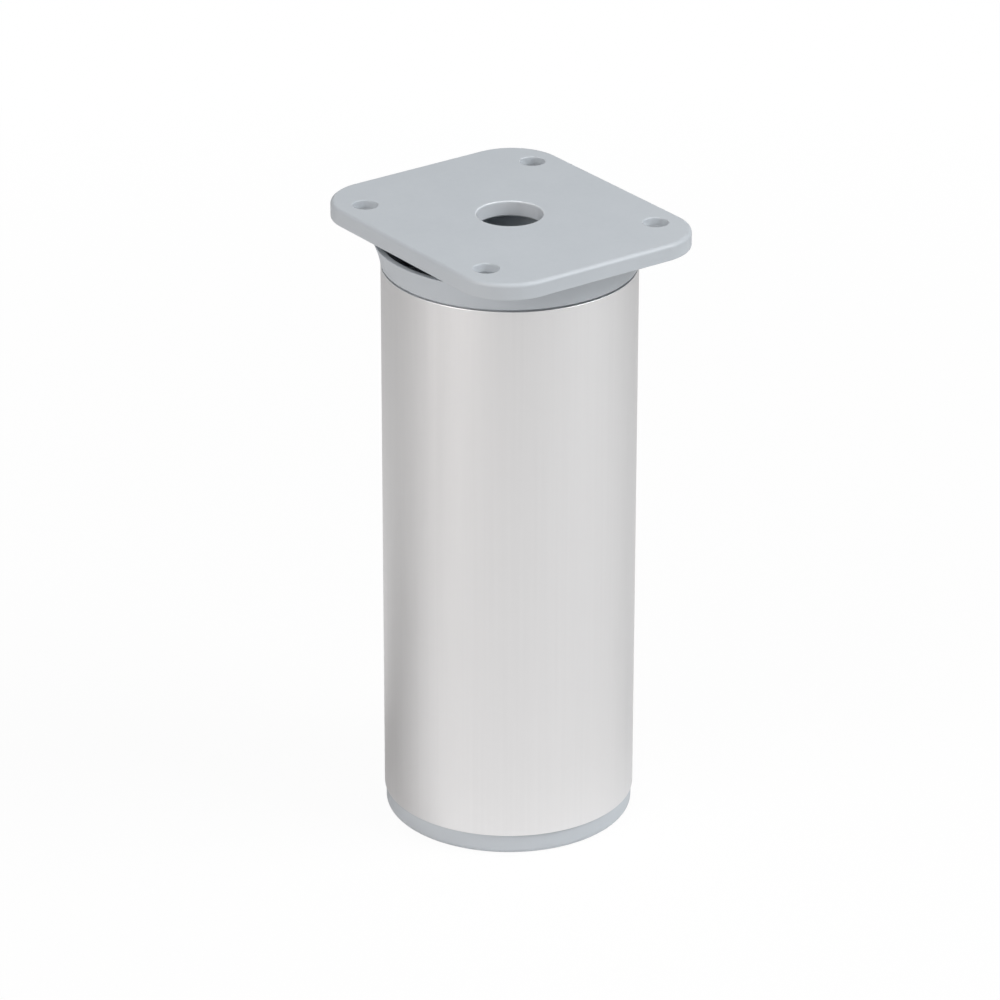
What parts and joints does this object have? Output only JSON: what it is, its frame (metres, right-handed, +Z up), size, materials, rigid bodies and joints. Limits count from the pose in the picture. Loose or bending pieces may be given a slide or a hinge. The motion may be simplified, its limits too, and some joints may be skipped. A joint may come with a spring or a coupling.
{
  "type": "furniture leg",
  "caption": "Round aluminium furniture leg with a screw-on mounting plate, flared collar and a levelling foot set from above through the plate.",
  "frame": {"origin": "on the floor, in the middle of the foot", "axes": "+Z up along the tube towards the mounting plate, X along the plate's short side, Y along its long side"},
  "size_m": [0.0636, 0.074, 0.152],
  "materials": {
    "grey_plastic": "light grey moulded plastic, smooth semi-matt",
    "satin_aluminium": "satin anodised",
    "zinc_steel": "zinc plated"
  },
  "bodies": {
    "leg": {"mounting_plate": "grey_plastic", "collar": "grey_plastic", "tube": "satin_aluminium", "lower_plug": "grey_plastic", "levelling_nut": "zinc_steel"},
    "foot": {"foot": "grey_plastic"},
    "spindle": {"levelling_spindle": "zinc_steel"}
  },
  "joints": [
    {"name": "foot_travel", "type": "slide", "parent": "leg", "child": "foot", "axis": [0, 0, -1], "range_m": [0, 0.015]},
    {"name": "spindle_turn", "type": "hinge", "parent": "foot", "child": "spindle", "pos_m": [0, 0, 0.02], "axis": [0, 0, -1], "range_deg": [0, 3600]}
  ],
  "couplings": [
    {"joint": "spindle_turn", "follows": "foot_travel", "rad_per_m": 4188.8}
  ]
}
